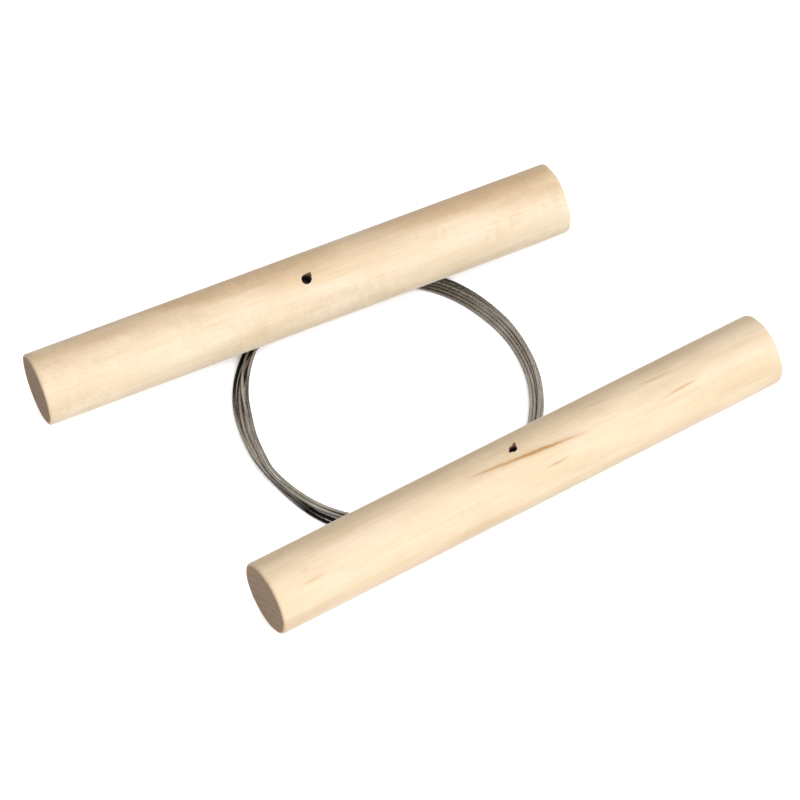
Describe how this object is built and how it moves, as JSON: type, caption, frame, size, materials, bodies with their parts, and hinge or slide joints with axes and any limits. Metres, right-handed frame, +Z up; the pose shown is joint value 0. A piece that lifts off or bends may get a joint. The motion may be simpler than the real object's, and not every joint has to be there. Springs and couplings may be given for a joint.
{
  "type": "wire clay cutter",
  "caption": "Wire clay cutter: plain wooden dowel handles on the ends of a long twisted steel wire, which is wound into a loose flat coil under the handles.",
  "frame": {"origin": "the middle of the coil, on the surface that the coil lies on", "axes": "+X runs along the handles to their right ends, +Y from the front handle to the rear handle, +Z up from the surface"},
  "size_m": [0.1498, 0.0913, 0.0196],
  "materials": {
    "handle_wood": "bare, sanded, fine pale grain",
    "steel_wire": "bright drawn stainless strands, twisted",
    "ferrule_metal": "dull, squeezed onto the wire"
  },
  "bodies": {
    "wire": {"wire_coil": "steel_wire", "rear_lead": "steel_wire", "front_lead": "steel_wire"},
    "rear_handle": {"rear_handle": "handle_wood", "rear_ferrule": "ferrule_metal", "rear_wire_end": "steel_wire"},
    "front_handle": {"front_handle": "handle_wood", "front_ferrule": "ferrule_metal", "front_wire_end": "steel_wire"}
  },
  "joints": [
    {"name": "rear_handle_swivel", "type": "hinge", "parent": "wire", "child": "rear_handle", "pos_m": [-0.00624, 0.03238, 0.00311], "axis": [0, 0, 1], "range_deg": [-25, 25]},
    {"name": "front_handle_swivel", "type": "hinge", "parent": "wire", "child": "front_handle", "pos_m": [0.01115, -0.03867, 0.00264], "axis": [0, 0, 1], "range_deg": [-25, 25]}
  ]
}
